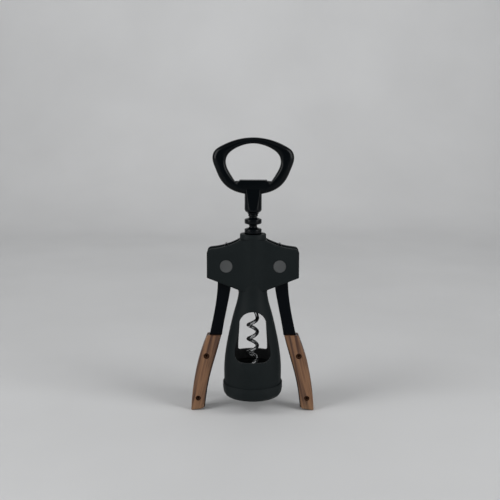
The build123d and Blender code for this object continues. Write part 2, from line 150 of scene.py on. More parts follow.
def spline(points: Sequence[Sequence[float]], count: int) -> Profile:
    """A natural cubic spline through a few points, at equal steps of length.

    Between neighbours p and q, h apart, with second derivatives m and n, and u from 0 to 1, it is
    (1-u)·p + u·q + h²/6·(((1-u)³-(1-u))·m + (u³-u)·n). The second derivatives make the slope the
    same on both sides of every inner point, and are zero at the ends.

    Args:
        points: The points it passes through, as pairs.
        count: How many points to return.

    Returns:
        The points of the spline, one pair a row.
    """
    knot = np.asarray(points, float)
    step = np.linalg.norm(np.diff(knot, axis=0), axis=1)
    size = len(knot)
    system = np.eye(size)
    slope = np.diff(knot, axis=0) / step[:, None]
    inner = np.arange(1, size - 1)
    system[inner, inner - 1] = step[:-1]
    system[inner, inner] = 2 * (step[:-1] + step[1:])
    system[inner, inner + 1] = step[1:]
    right = np.zeros_like(knot)
    right[1:-1] = 6 * np.diff(slope, axis=0)
    bend = np.linalg.solve(system, right)
    along = np.concatenate(([0], np.cumsum(step)))
    at = np.linspace(0, along[-1], SPLINE_DETAIL * count)
    span = np.clip(np.searchsorted(along, at, side="right") - 1, 0, size - 2)
    u = ((at - along[span]) / step[span])[:, None]
    arch = step[span, None] ** 2 / 6
    dense = (1 - u) * knot[span] + u * knot[span + 1]
    dense += arch * (((1 - u) ** 3 - (1 - u)) * bend[span] + (u**3 - u) * bend[span + 1])
    gaps = np.linalg.norm(np.diff(dense, axis=0), axis=1)
    length = np.concatenate(([0], np.cumsum(gaps)))
    return read_along(dense, length, np.linspace(0, length[-1], count))


def read_along(curve: Profile, known: Grid, wanted: Grid) -> Profile:
    """Read a run of points at other places along it, with straight lines between its points.

    Args:
        curve: The points, one a row.
        known: How far along the run each of them lies.
        wanted: How far along it to read.

    Returns:
        One point for each place wanted.
    """
    return np.stack([np.interp(wanted, known, column) for column in curve.T], axis=1)


def revolved(
    profile: Profile, segments: int = TURN_USUAL, centre: Place = (0, 0, 0),
    axis: Place = (0, 0, 1),
) -> Grid:
    """Turn a profile of (radius, height) pairs round an axis.

    P(i, a) = centre + r_i·(cos a·u + sin a·v) + h_i·w, with w the axis and u, v square to it.

    Args:
        profile: Radius and height, one pair a row.
        segments: Columns of the grid.
        centre: The point of the axis from which heights count.
        axis: The direction of the axis.

    Returns:
        The grid, with one row for each pair and one column for each angle.
    """
    w = np.asarray(axis, float)
    u = np.array((0.0, 0.0, 1.0)) if abs(w[2]) < 0.5 else np.array((1.0, 0.0, 0.0))
    v = np.cross(w, u)
    angle = np.linspace(0, 2 * np.pi, segments, endpoint=False)[None, :, None]
    radius = profile[:, 0][:, None, None]
    height = profile[:, 1][:, None, None]
    return np.asarray(centre, float) + radius * (np.cos(angle) * u + np.sin(angle) * v) + height * w


def softened_box(
    width: Grid, low: float, high: Grid, radii: Sequence[float | Grid], steps: int = 6,
    squat: float = 1.0,
) -> tuple[Grid, Grid]:
    """The section of a bar, a rectangle with four rounded corners, for every row of a grid.

    At a corner with radius r and centre c the section is c + r·(cos a, q·sin a), a quarter turn
    long. With q below 1 a corner reaches further across the bar than through it.

    Args:
        width: How far each row's section reaches, from 0.
        low: The level of the near side.
        high: The level of the far side in each row.
        radii: The radii at (0, low), (width, low), (width, high) and (0, high).
        steps: Stretches in one corner.
        squat: The q above.

    Returns:
        Two grids: the place across the bar, and the level.
    """
    quarter = np.linspace(0, np.pi / 2, steps + 1)
    across, level = [], []
    for turn, (radius, far, upper) in enumerate(zip(radii, (0, 1, 1, 0), (0, 0, 1, 1))):
        angle = np.pi + turn * np.pi / 2 + quarter[None, :]
        curve = np.broadcast_to(radius, width.shape)[:, None]
        middle = (width[:, None] - curve) if far else curve
        centre = (high[:, None] - squat * curve) if upper else low + squat * curve
        across.append(middle + curve * np.cos(angle))
        level.append(centre + squat * curve * np.sin(angle))
    return np.concatenate(across, axis=1), np.concatenate(level, axis=1)


def piece(name: str, *grids: Grid, loops: int = 0, sharp: float = 40.0) -> bpy.types.Object:
    """Make one object from grids whose columns run round closed sections.

    Args:
        name: The object's name.
        grids: Arrays of rows by columns by three. Columns wrap round.
        loops: How many of the first grids join their last row to their first. The others get a flat
            face at each end.
        sharp: The angle in degrees from which an edge stays crisp.

    Returns:
        The object, smooth-shaded, closed and with its faces outwards.
    """
    places: list[Grid] = []
    faces: list[list[int]] = []
    offset = 0
    for number, grid in enumerate(grids):
        loop = number < loops
        rows, columns = grid.shape[:2]
        index = offset + np.arange(rows * columns).reshape(rows, columns)
        near = index if loop else index[:-1]
        far = np.roll(index, -1, axis=0) if loop else index[1:]
        quads = np.stack((near, np.roll(near, -1, axis=1), np.roll(far, -1, axis=1), far), axis=-1)
        faces += quads.reshape(-1, 4).tolist()
        if not loop:
            faces += [index[0][::-1].tolist(), index[-1].tolist()]
        places.append(grid.reshape(-1, 3))
        offset += rows * columns
    mesh = bpy.data.meshes.new(name)
    mesh.from_pydata(np.concatenate(places), [], faces)
    work = bmesh.new()
    work.from_mesh(mesh)
    bmesh.ops.remove_doubles(work, verts=work.verts, dist=SEAM)
    bmesh.ops.recalc_face_normals(work, faces=work.faces)
    work.to_mesh(mesh)
    work.free()
    return finished(mesh, name, sharp)


def finished(mesh: bpy.types.Mesh, name: str, sharp: float) -> bpy.types.Object:
    """Shade a mesh smooth, and put it into the scene.

    Args:
        mesh: The mesh.
        name: The new object's name.
        sharp: The angle in degrees from which an edge stays crisp.

    Returns:
        The object.
    """
    mesh.shade_smooth()
    mesh.set_sharp_from_angle(angle=math.radians(sharp))
    made = bpy.data.objects.new(name, mesh)
    bpy.context.scene.collection.objects.link(made)
    return made


def softened_copy(
    node: str, name: str, width: float, spared: Callable[[Vector], bool] = lambda _: False,
) -> bpy.types.Object:
    """Copy a node of the model, join its loose triangles, and round the copy's edges.

    Args:
        node: The node to copy.
        name: The copy's name.
        width: How wide the rounding is.
        spared: Whether the edges that end at a place stay crisp.

    Returns:
        The copy, with flat faces that still look flat.
    """
    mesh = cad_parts[node].data.copy()
    mesh.name = name
    work = bmesh.new()
    work.from_mesh(mesh)
    bmesh.ops.remove_doubles(work, verts=work.verts, dist=WELD)
    bmesh.ops.dissolve_limit(work, angle_limit=FLAT_WITHIN, verts=work.verts, edges=work.edges)
    edges = [
        edge for edge in work.edges
        if edge.is_manifold and edge.calc_face_angle() > ROUNDED_FROM
        and not any(spared(vertex.co) for vertex in edge.verts)
    ]
    bmesh.ops.bevel(
        work, geom=edges, offset=width, segments=3, profile=0.5, affect="EDGES",
        clamp_overlap=False,
    )
    work.to_mesh(mesh)
    work.free()
    made = finished(mesh, name, CRISP_FROM)
    flats = made.modifiers.new("flats", "WEIGHTED_NORMAL")
    flats.keep_sharp = True
    return made


# ---------------------------------------------------------------- shader nodes


@dataclass
class Wiring:
    """Short ways to add nodes to one tree and join them."""

    tree: bpy.types.NodeTree

    def add(
        self, kind: str, inputs: dict[str | int, object] | None = None, **settings: object,
    ) -> bpy.types.Node:
        """Add a node.

        Args:
            kind: The node's type name without "ShaderNode".
            inputs: Socket name or number to a value, or to the output that feeds it.
            settings: Properties of the node.

        Returns:
            The node.
        """
        node = self.tree.nodes.new("ShaderNode" + kind)
        for name, value in settings.items():
            setattr(node, name, value)
        self.feed(node, inputs or {})
        return node

    def feed(self, node: bpy.types.Node, inputs: dict[str | int, object]) -> None:
        """Give a node its inputs.

        Args:
            node: The node.
            inputs: Socket name or number to a value, or to the output that feeds it.
        """
        for socket, value in inputs.items():
            if isinstance(value, Socket):
                self.tree.links.new(value, node.inputs[socket])
            else:
                node.inputs[socket].default_value = value

    def noise(self, vector: Socket, scale: float | Socket, detail: float) -> Socket:
        """Add a noise.

        Args:
            vector: Where it is read.
            scale: About how many lumps lie in a metre, or the output that says so.
            detail: How many finer layers are added.

        Returns:
            The value, from 0 to 1.
        """
        node = self.add("TexNoise", {"Vector": vector, "Scale": scale, "Detail": detail})
        return node.outputs["Fac"]

    def ranged(
        self, value: Socket, low: float, high: float, to_low: float, to_high: float,
    ) -> Socket:
        """Carry a value from one range to another.

        Args:
            value: The value.
            low: The start of its range.
            high: The end of its range.
            to_low: What the start becomes.
            to_high: What the end becomes.

        Returns:
            The new value, held at the ends.
        """
        node = self.add("MapRange", {
            "Value": value, "From Min": low, "From Max": high, "To Min": to_low, "To Max": to_high,
        })
        return node.outputs["Result"]

    def mixed(self, share: Socket, first: object, second: object) -> Socket:
        """Mix two colours.

        Args:
            share: How much of the second there is.
            first: The first colour, as a value or an output.
            second: The second colour.

        Returns:
            The mixed colour.
        """
        node = self.add("Mix", {0: share, 6: first, 7: second}, data_type="RGBA")
        return node.outputs[2]


def new_group(
    name: str, inputs: dict[str, str], outputs: dict[str, str],
) -> tuple[bpy.types.NodeTree, Wiring]:
    """Start a shader node group.

    Args:
        name: The group's name.
        inputs: Input names with their kind: Vector, Float or Color.
        outputs: Output names with their kind.

    Returns:
        The group and the wiring that fills it.
    """
    tree = bpy.data.node_groups.new(name, "ShaderNodeTree")
    for direction, sockets in (("INPUT", inputs), ("OUTPUT", outputs)):
        for socket, kind in sockets.items():
            tree.interface.new_socket(socket, in_out=direction, socket_type="NodeSocket" + kind)
    return tree, Wiring(tree)


def fine_grain_group() -> bpy.types.NodeTree:
    """The group for the fine grain and the handling marks of a moulded, sprayed or ground surface.

    Height is a fine noise. Marks is a patchy value from 0 to 1.

    Returns:
        The group.
    """
    tree, wire = new_group(
        "fine_grain", {"Vector": "Vector", "Grains": "Float", "Patches": "Float"},
        {"Height": "Float", "Marks": "Float"},
    )
    given = tree.nodes.new("NodeGroupInput").outputs
    grain = wire.noise(given["Vector"], given["Grains"], 2.0)
    patch = wire.add("TexNoise", {
        "Vector": given["Vector"], "Scale": given["Patches"], "Detail": 5.0, "Roughness": 0.6,
        "Distortion": 0.4,
    })
    marks = wire.ranged(patch.outputs["Fac"], 0.32, 0.68, 0.0, 1.0)
    wire.feed(tree.nodes.new("NodeGroupOutput"), {"Height": grain, "Marks": marks})
    return tree


def wood_grain_group() -> bpy.types.NodeTree:
    """The group for straight-grained wood whose fibres run along the vector's Z.

    Broad bands mix the pale and the deep colour, narrow streaks add the red one, and fine pores,
    long and thin, darken both. Height sinks at the pores.

    Returns:
        The group.
    """
    tree, wire = new_group(
        "wood_grain", {"Vector": "Vector", "Pale": "Color", "Deep": "Color", "Streak": "Color"},
        {"Color": "Color", "Height": "Float", "Pores": "Float"},
    )
    given = tree.nodes.new("NodeGroupInput").outputs

    def stretched(across: float, along: float, detail: float) -> Socket:
        """Add a noise that is drawn out along the fibres.

        Args:
            across: Lumps in a metre across the fibres.
            along: Lumps in a metre along them.
            detail: How many finer layers are added.

        Returns:
            The value, from 0 to 1.
        """
        space = wire.add("Mapping", {"Vector": given["Vector"], "Scale": (across, across, along)})
        return wire.noise(space.outputs["Vector"], 1.0, detail)

    bands = wire.ranged(stretched(330.0, 16.0, 3.0), 0.38, 0.64, 0.0, 1.0)
    streaks = wire.ranged(stretched(620.0, 22.0, 4.0), 0.50, 0.66, 0.0, 0.85)
    pores = wire.ranged(stretched(2300.0, 70.0, 2.0), 0.60, 0.72, 0.0, 1.0)
    board = wire.mixed(bands, given["Pale"], given["Deep"])
    board = wire.mixed(streaks, board, given["Streak"])
    darker = wire.ranged(pores, 0.0, 1.0, 1.0, 0.55)
    shaded = wire.add("VectorMath", {0: board, "Scale": darker}, operation="SCALE")
    height = wire.ranged(pores, 0.0, 1.0, 1.0, 0.0)
    wire.feed(tree.nodes.new("NodeGroupOutput"), {
        "Color": shaded.outputs["Vector"], "Height": height, "Pores": pores,
    })
    return tree


@dataclass
class Shop:
    """The node groups that the finishes share, each built once."""

    grain: bpy.types.NodeTree = field(default_factory=fine_grain_group)
    wood: bpy.types.NodeTree = field(default_factory=wood_grain_group)


@dataclass(frozen=True)
class Coat:
    """A sprayed, moulded or polished finish.

    Its roughness and colour vary with handling marks, and a fine grain stands in its surface. The
    bell's inside may take a paler colour, painted light where its hollow is in shade.
    """

    name: str
    slot: str
    colour: Colour
    roughness: tuple[float, float]
    grains: float
    patches: float
    relief: float
    metal: float = 0.0
    specular: float = 0.5
    uneven: float = 0.12
    painted_inside_light: Colour | None = None

    def material(self, shop: Shop) -> bpy.types.Material:
        """Build the finish.

        Args:
            shop: The shared node groups.

        Returns:
            The material.
        """
        made, wire, shader = blank_material(self.name)
        space = wire.add("TexCoord").outputs["Object"]
        grain = wire.add("Group", node_tree=shop.grain)
        wire.feed(grain, {"Grains": self.grains, "Patches": self.patches, "Vector": space})
        marks = grain.outputs["Marks"]
        deeper = tuple(part * (1 - self.uneven) for part in self.colour)
        paler = tuple(part * (1 + self.uneven) for part in self.colour)
        body = wire.mixed(marks, (*deeper, 1), (*paler, 1))
        # painted light: a paler colour inside the bell stands in for light that its shaded hollow
        # lacks
        if self.painted_inside_light is not None:
            body = wire.mixed(bell_inside(wire, space), body, (*self.painted_inside_light, 1))
        bump = wire.add("Bump", {
            "Height": grain.outputs["Height"], "Strength": 1.0, "Distance": self.relief,
        })
        wire.feed(shader, {
            "Base Color": body, "Roughness": wire.ranged(marks, 0, 1, *self.roughness),
            "Normal": bump.outputs["Normal"], "Metallic": self.metal,
            "Specular IOR Level": self.specular,
        })
        return made


@dataclass(frozen=True)
class OiledWood:
    """Oiled hardwood, with its fibres along the handle and paler towards its tip."""

    name: str = "oiled_wood"
    slot: str = "handle_wood"
    pale: Colour = (0.194, 0.098, 0.049)
    deep: Colour = (0.077, 0.038, 0.022)
    streak: Colour = (0.040, 0.014, 0.008)
    tip: Colour = (0.216, 0.122, 0.060)
    tip_from: float = -0.0035
    tip_to: float = -0.0115
    tip_share: float = 0.55
    roughness: tuple[float, float] = (0.40, 0.58)
    specular: float = 0.4
    relief: float = 0.00006
    lean: float = math.radians(13.0)
    middle: Place = (0.0355, 0.0, 0.018)

    def material(self, shop: Shop, side: Side) -> bpy.types.Material:
        """Build the wood of one handle.

        Args:
            shop: The shared node groups.
            side: The side, because the fibres lean outwards.

        Returns:
            The material.
        """
        made, wire, shader = blank_material(f"{self.name}_{side.name.lower()}")
        space = wire.add("TexCoord").outputs["Object"]
        out, depth, high = self.middle
        centred = wire.add("Mapping", {
            "Vector": space, "Location": (side.value * out, depth, high),
            "Rotation": (0.0, -side.value * self.lean, 0.0),
        }, vector_type="TEXTURE")
        wood = wire.add("Group", node_tree=shop.wood)
        wire.feed(wood, {
            "Vector": centred.outputs["Vector"], "Pale": (*self.pale, 1), "Deep": (*self.deep, 1),
            "Streak": (*self.streak, 1),
        })
        height = wire.add("SeparateXYZ", {"Vector": space}).outputs["Z"]
        paler_tip = wire.ranged(height, self.tip_from, self.tip_to, 0.0, self.tip_share)
        bump = wire.add("Bump", {
            "Height": wood.outputs["Height"], "Strength": 0.8, "Distance": self.relief,
        })
        wire.feed(shader, {
            "Base Color": wire.mixed(paler_tip, wood.outputs["Color"], (*self.tip, 1)),
            "Roughness": wire.ranged(wood.outputs["Pores"], 0, 1, *self.roughness),
            "Normal": bump.outputs["Normal"], "Specular IOR Level": self.specular,
        })
        return made


def bell_inside(wire: Wiring, space: Socket) -> Socket:
    """The mask of the bell's inside, where the coat gets painted light for its shaded hollow.

    With r the distance from the Z axis and h the height, or the liner's top if that is higher, the
    sum r + 0.2·h is at most 23.4 mm on the bell's inner wall, and at least 24.5 mm on its outer one.

    Args:
        wire: The wiring of the material's tree.
        space: The place, in object coordinates.

    Returns:
        The mask, 1 inside.
    """
    liner_top, narrowing, wall = 0.0205, 0.2, (0.0237, 0.0235)
    level = wire.add("VectorMath", {0: space, 1: (1.0, 1.0, 0.0)}, operation="MULTIPLY")
    away = wire.add("VectorMath", {0: level.outputs["Vector"]}, operation="LENGTH")
    height = wire.add("SeparateXYZ", {"Vector": space}).outputs["Z"]
    held = wire.add("Math", {0: height, 1: liner_top}, operation="MAXIMUM")
    total = wire.add(
        "Math", {0: held.outputs["Value"], 1: narrowing, 2: away.outputs["Value"]},
        operation="MULTIPLY_ADD",
    )
    return wire.ranged(total.outputs["Value"], *wall, 0.0, 1.0)


def blank_material(name: str) -> tuple[bpy.types.Material, Wiring, bpy.types.Node]:
    """Start a material that holds only a Principled shader.

    Args:
        name: The material's name.

    Returns:
        The material, its wiring and its shader.
    """
    made = bpy.data.materials.new(name)
    made.use_nodes = True
    shader = next(node for node in made.node_tree.nodes if node.type == "BSDF_PRINCIPLED")
    return made, Wiring(made.node_tree), shader


# The charcoal coat; its paler colour inside the bell is painted light for the shaded hollow.
SOFT_TOUCH = Coat(
    "soft_touch_charcoal", "body_coat", (0.0082, 0.0108, 0.0115), (0.50, 0.60),
    grains=2600.0, patches=55.0, relief=0.000012, specular=0.06, uneven=0.08,
    painted_inside_light=(0.080, 0.083, 0.085),
)
MOULDED = Coat(
    "moulded_charcoal", "ring_plastic", (0.0082, 0.0108, 0.0115), (0.44, 0.54),
    grains=2200.0, patches=70.0, relief=0.000012, specular=0.08, uneven=0.08,
)
DISC_GREY = Coat(
    "disc_grey", "cap_plastic", (0.058, 0.061, 0.062), (0.46, 0.56),
    grains=2400.0, patches=160.0, relief=0.00001, specular=0.2, uneven=0.10,
)
LACQUER = Coat(
    "gloss_black", "lever_coat", (0.0004, 0.0013, 0.0021), (0.18, 0.25),
    grains=900.0, patches=60.0, relief=0.000008, specular=0.12,
)
ARM_BLACK = Coat(
    "dull_black", "lever_coat", (0.0005, 0.0012, 0.0024), (0.26, 0.36),
    grains=900.0, patches=60.0, relief=0.000008, specular=0.075,
)
BRONZE = Coat(
    "dark_bronze", "rivet_bronze", (0.0280, 0.0105, 0.0040), (0.34, 0.48),
    grains=3000.0, patches=400.0, relief=0.00001, metal=0.2, specular=0.12, uneven=0.25,
)
WORM_STEEL = Coat(
    "bright_worm", "worm_steel", (0.43, 0.44, 0.445), (0.09, 0.20),
    grains=3800.0, patches=240.0, relief=0.000006, metal=1.0, uneven=0.12,
)
PIN_STEEL = Coat(
    "pin_steel", "pin_steel", (0.30, 0.30, 0.31), (0.26, 0.40),
    grains=3800.0, patches=300.0, relief=0.00001, metal=1.0, uneven=0.1,
)


def place_piece(
    made: bpy.types.Object, body: Body, material: bpy.types.Material, node: str,
) -> None:
    """Dress a piece, let it ride on its body, and let it stand for a node of the model.

    Args:
        made: The piece.
        body: The body that carries it.
        material: Its material.
        node: The node that it replaces.
    """
    made.data.materials.clear()
    made.data.materials.append(material)
    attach(made, body.value)
    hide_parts(node)
    log.info("%s stands for %s: %d faces", made.name, node, len(made.data.polygons))


def dress_node(node: str, material: bpy.types.Material) -> None:
    """Give a node of the model that stays in view its material.

    Args:
        node: The node.
        material: Its material.
    """
    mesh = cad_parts[node].data
    mesh.materials.clear()
    mesh.materials.append(material)
    log.info("%s keeps its own mesh", node)


# ---------------------------------------------------------------- sub-assemblies


@dataclass
class BodyFrame:
    """The body: bell and cheeks in one, the ring at its foot, the collar and the four discs."""

    shop: Shop
    edge: float = 0.00035
    ledge: tuple[float, float] = (0.0125, 0.1115)
    scoop_foot: tuple[float, float] = (0.0030, 0.0218)
    band: Outline = (
        (0.0195, 0.0), (0.0208, 0.0022), (0.0213, 0.0056), (0.0212, 0.0091), (0.0209, 0.0091),
        (0.02042, 0.0078), (0.02042, 0.0025), (0.01785, 0.0025), (0.01785, 0.0205),
        (0.0122, 0.0205), (0.0122, 0.0180), (0.0155, 0.0180), (0.0155, 0.0),
    )
    band_round: float = 0.0004
    collar: Outline = (
        (0.00603, 0.1070), (0.00748, 0.1070), (0.00748, 0.1119), (0.0089, 0.1119),
        (0.00918, 0.1127), (0.00918, 0.1140), (0.00905, 0.1161), (0.00603, 0.1161),
    )
    collar_round: float = 0.0005
    disc_radius: float = 0.00447
    disc_thick: float = 0.00115
    disc_dish: float = 0.00012
    disc_edge: float = 0.0003

    def build(self) -> None:
        """Build the pieces that do not move."""
        soft = SOFT_TOUCH.material(self.shop)
        moulded = MOULDED.material(self.shop)
        shell = softened_copy("body_frame", "bell_and_cheeks", self.edge, self.on_narrow_step)
        place_piece(shell, Body.FRAME, soft, "body_frame")
        band = rounded(self.band, self.band_round)
        ring = piece("foot_ring", revolved(band, TURN_LARGE), loops=1)
        place_piece(ring, Body.FRAME, moulded, "base_ring")
        collar = piece("collar", revolved(rounded(self.collar, self.collar_round)), loops=1)
        place_piece(collar, Body.FRAME, moulded, "guide_bush")
        grey = DISC_GREY.material(self.shop)
        steel = PIN_STEEL.material(self.shop)
        for side in Side:
            hand = side.name.lower()
            dress_node(f"{hand}_pivot_pin", steel)
            for face in Face:
                node = f"{hand}_{face.name.lower()}_cap"
                place_piece(self.disc(node, face), Body.FRAME, grey, node)

    def on_narrow_step(self, place: Vector) -> bool:
        """Whether a place is on the ledge under the collar or at the foot of the window's scoop.

        Args:
            place: The place.

        Returns:
            True where a step is narrower than the rounding.
        """
        out, foot = self.scoop_foot
        on_ledge = place.z > self.ledge[1] and abs(place.x) < self.ledge[0]
        at_scoop = abs(place.z - foot) < self.edge and abs(place.x) < out
        return on_ledge or at_scoop

    def disc(self, node: str, face: Face) -> bpy.types.Object:
        """The grey disc that closes a pivot's hole, faintly dished.

        Its face is at thick - dish·(1 - (r/R)²), and a quarter round joins it to its side.

        Args:
            node: The model's cap, which gives its place.
            face: Whether it is at the front or the back.

        Returns:
            The disc.
        """
        low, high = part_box(node)
        middle = (low + high) / 2
        inner = high.y if face is Face.FRONT else low.y
        radius = np.linspace(POLE, self.disc_radius - self.disc_edge, 10)
        top = self.disc_thick - self.disc_dish * (1 - (radius / self.disc_radius) ** 2)
        turn = np.linspace(0, np.pi / 2, 5)[1:]
        rim = self.disc_radius - self.disc_edge + self.disc_edge * np.sin(turn)
        fall = self.disc_thick - self.disc_edge * (1 - np.cos(turn))
        profile = np.stack((
            np.concatenate((radius, rim, [self.disc_radius, POLE])),
            np.concatenate((top, fall, [0.0, 0.0])),
        ), axis=1)
        grid = revolved(profile, TURN_DISC, (middle.x, inner, middle.z), (0, face.value, 0))
        return piece(node.replace("cap", "disc"), grid)


@dataclass
class Rack:
    """The sleeve with tooth rings that both gears mesh with."""

    shop: Shop
    bore: float = 0.00137
    core: float = 0.00275
    rings: int = 6
    ring_radius: float = 0.00595
    ring_rim: float = 0.0029
    pitch: float = 0.00685
    top_ring: float = 0.124825
    bottom: float = 0.084
    top: float = 0.1298
    head: tuple[float, float] = (0.0034, 0.0016)
    flank: float = math.radians(20)
    soft: float = 0.0004

    def build(self) -> None:
        """Build the rack as one turned profile.

        Ring k stands at top_ring - k·pitch. About that height its corners are (core, -foot),
        (ring_radius, -rim/2), (ring_radius, rim/2) and (core, foot), where foot is
        rim/2 + (ring_radius - core)·tan flank.
        """
        half_rim = self.ring_rim / 2
        foot = half_rim + (self.ring_radius - self.core) * math.tan(self.flank)
        middle = self.top_ring - self.pitch * np.arange(self.rings)[::-1]
        height = (middle[:, None] + np.array((-foot, -half_rim, half_rim, foot))).ravel()
        radius = np.tile((self.core, self.ring_radius, self.ring_radius, self.core), self.rings)
        head_radius, head_tall = self.head
        profile = np.vstack((
            [(self.bore, self.bottom), (self.core, self.bottom)],
            np.stack((radius, height), axis=1),
            [(self.core, self.top - head_tall), (head_radius, self.top - head_tall),
             (head_radius, self.top), (self.bore, self.top)],
        ))
        turned = piece("tooth_rack", revolved(rounded(profile, self.soft)), loops=1)
        place_piece(turned, Body.RACK, LACQUER.material(self.shop), "rack_sleeve")


@dataclass
class Spindle:
    """The worm, the ring handle on top of it, and the pin that joins them."""

    shop: Shop
    wire: float = 0.00132
    coil: float = 0.0032
    pitch: float = 0.0101
    right_at: float = 0.0351
    tip_at: float = 0.0204
    coil_top: float = 0.0545
    straight_from: float = 0.066
    shank_top: float = 0.140
    taper: float = 0.0024
    taper_loss: float = 0.8
    taper_power: float = 1.3
    wire_sides: int = 28
    bead: tuple[float, float, float] = (0.0022, 0.0008, 0.08315)
    bead_round: float = 0.0003
    ring_half: float = 0.0035
    rounds: tuple[float, float] = (0.58, 0.38)
    outer_round: float = 0.0045
    lip_round: float = 0.0009
    lip_fade: float = 0.0014
    corner: float = 0.0006
    squat: float = 0.72
    arch_rows: int = 150
    outside: Outline = (
        (0.00595, 0.1438), (0.0117, 0.1453), (0.0183, 0.1489), (0.0232, 0.1548), (0.0261, 0.1614),
        (0.0281, 0.1691), (0.0269, 0.1731), (0.0222, 0.1768), (0.0126, 0.1808), (0.0, 0.1826),
    )
    hole: Outline = (
        (0.0127, 0.1528), (0.0164, 0.1587), (0.0189, 0.1655), (0.0177, 0.1704), (0.0141, 0.1740),
        (0.0083, 0.1770), (0.0, 0.1786),
    )
    tongue: tuple[float, float] = (0.0096, 0.1536)
    neck_radius: float = 0.00595
    neck_foot: Outline = (
        (POLE, 0.1299), (0.0038, 0.1299), (0.0041, 0.1310), (0.0055, 0.1317), (0.00595, 0.1330),
    )
    neck_top: float = 0.1475
    neck_rows: int = 24
    flat_from: float = 0.1315
    flat_blend: float = 0.0002

    def build(self) -> None:
        """Build worm and handle, and dress the pin."""
        lacquer = LACQUER.material(self.shop)
        steel = WORM_STEEL.material(self.shop)
        place_piece(self.worm(), Body.SPINDLE, steel, "worm")
        place_piece(self.handle(), Body.SPINDLE, lacquer, "ring_handle")
        dress_node("handle_pin", lacquer)

    def worm(self) -> bpy.types.Object:
        """The worm: a round wire on a right-handed helix, bent to the axis and run up as a shank.

        The helix is (c·cos a, c·sin a, z) with a = 2π(z - right_at)/pitch. The bend is Hermite's
        cubic from its end p, direction s, to the axis at q, direction up: with k = |q - p| it is
        (2u³-3u²+1)·p + (u³-2u²+u)·k·s + (3u²-2u³)·q + (u³-u²)·k·up. Over the taper the wire's
        radius is wire·(1 - loss·g^power), with g from 0 to 1 at the tip. Sections lie square to
        the line.

        Returns:
            The worm.
        """
        height = np.linspace(self.tip_at, self.coil_top, 300)
        angle = 2 * np.pi * (height - self.right_at) / self.pitch
        outward = np.stack((np.cos(angle), np.sin(angle), 0 * angle), axis=1)
        helix = self.coil * outward + np.outer(height, (0, 0, 1))
        rise = self.pitch / (2 * np.pi * self.coil)
        climb = np.array((-np.sin(angle[-1]), np.cos(angle[-1]), rise))
        climb /= np.linalg.norm(climb)
        up = np.array((0.0, 0.0, 1.0))
        low, high = helix[-1], self.straight_from * up
        reach = np.linalg.norm(high - low)
        u = np.linspace(0, 1, 60)[1:, None]
        bend = (2 * u**3 - 3 * u**2 + 1) * low + (u**3 - 2 * u**2 + u) * reach * climb
        bend += (3 * u**2 - 2 * u**3) * high + (u**3 - u**2) * reach * up
        shank = np.outer(np.linspace(self.straight_from, self.shank_top, 12)[1:], up)
        line = np.vstack((helix, bend, shank))
        outward = np.vstack((outward, np.repeat(outward[-1:], len(bend) + len(shank), axis=0)))
        along = np.gradient(line, axis=0)
        along /= np.linalg.norm(along, axis=1)[:, None]
        normal = outward - np.sum(outward * along, axis=1)[:, None] * along
        normal /= np.linalg.norm(normal, axis=1)[:, None]
        side = np.cross(along, normal)
        ground = np.clip((self.tip_at + self.taper - line[:, 2]) / self.taper, 0, 1)
        thick = self.wire * (1 - self.taper_loss * ground**self.taper_power)
        turn = np.linspace(0, 2 * np.pi, self.wire_sides, endpoint=False)[None, :, None]
        spoke = np.cos(turn) * normal[:, None] + np.sin(turn) * side[:, None]
        wire = line[:, None] + thick[:, None, None] * spoke
        radius, tall, bead_at = self.bead
        corners = ((POLE, 0), (radius, 0), (radius, tall), (POLE, tall))
        bead = rounded(corners, self.bead_round, closed=False)
        return piece("worm_wire", wire, revolved(bead, TURN_SMALL, (0, 0, bead_at)))

    def handle(self) -> bpy.types.Object:
        """The ring handle: a ring of rounded section round a D-shaped hole, and its neck.

        O(t) and I(t) run round the outside and the hole together. The section at t spans from I to O
        in the plane of the ring, and ring_half either side of it. Its corners take up shares of the
        width, but along the lip those at the hole shrink to lip_round, with the smoothstep of how
        far out I is, over lip_fade from the hole's corner.

        Returns:
            The handle.
        """
        outside = spline(mirrored_outline(self.outside), self.arch_rows)
        hole = spline(mirrored_outline(self.hole), self.arch_rows)
        tongue_out, tongue_top = self.tongue
        hole_out, foot = self.hole[0]
        lip = rounded((
            (hole_out, foot), (tongue_out, foot), (tongue_out, tongue_top),
            (-tongue_out, tongue_top), (-tongue_out, foot), (-hole_out, foot),
        ), self.corner, closed=False)
        spread = np.linspace(0, 1, len(lip))[:, None]
        under = (1 - spread) * outside[-1] + spread * outside[0]
        outer = np.vstack((outside, under[1:-1]))
        inner = np.vstack((hole, lip[1:-1]))
        width = np.linalg.norm(outer - inner, axis=1)
        direction = (outer - inner) / width[:, None]
        outer_share, hole_share = self.rounds
        outer_round = np.minimum(self.outer_round, outer_share * width)
        t = np.clip((np.abs(inner[:, 0]) - hole_out + self.lip_fade) / self.lip_fade, 0, 1)
        t[:len(hole)] = 1
        hole_round = self.lip_round + (hole_share * width - self.lip_round) * t * t * (3 - 2 * t)
        across, level = softened_box(
            width, -self.ring_half, np.full_like(width, self.ring_half),
            (hole_round, outer_round, outer_round, hole_round), steps=9, squat=self.squat,
        )
        flat = inner[:, None] + across[:, :, None] * direction[:, None]
        ring = np.stack((flat[:, :, 0], level, flat[:, :, 1]), axis=-1)
        return piece("ring_grip", ring, self.neck(), loops=1, sharp=50.0)

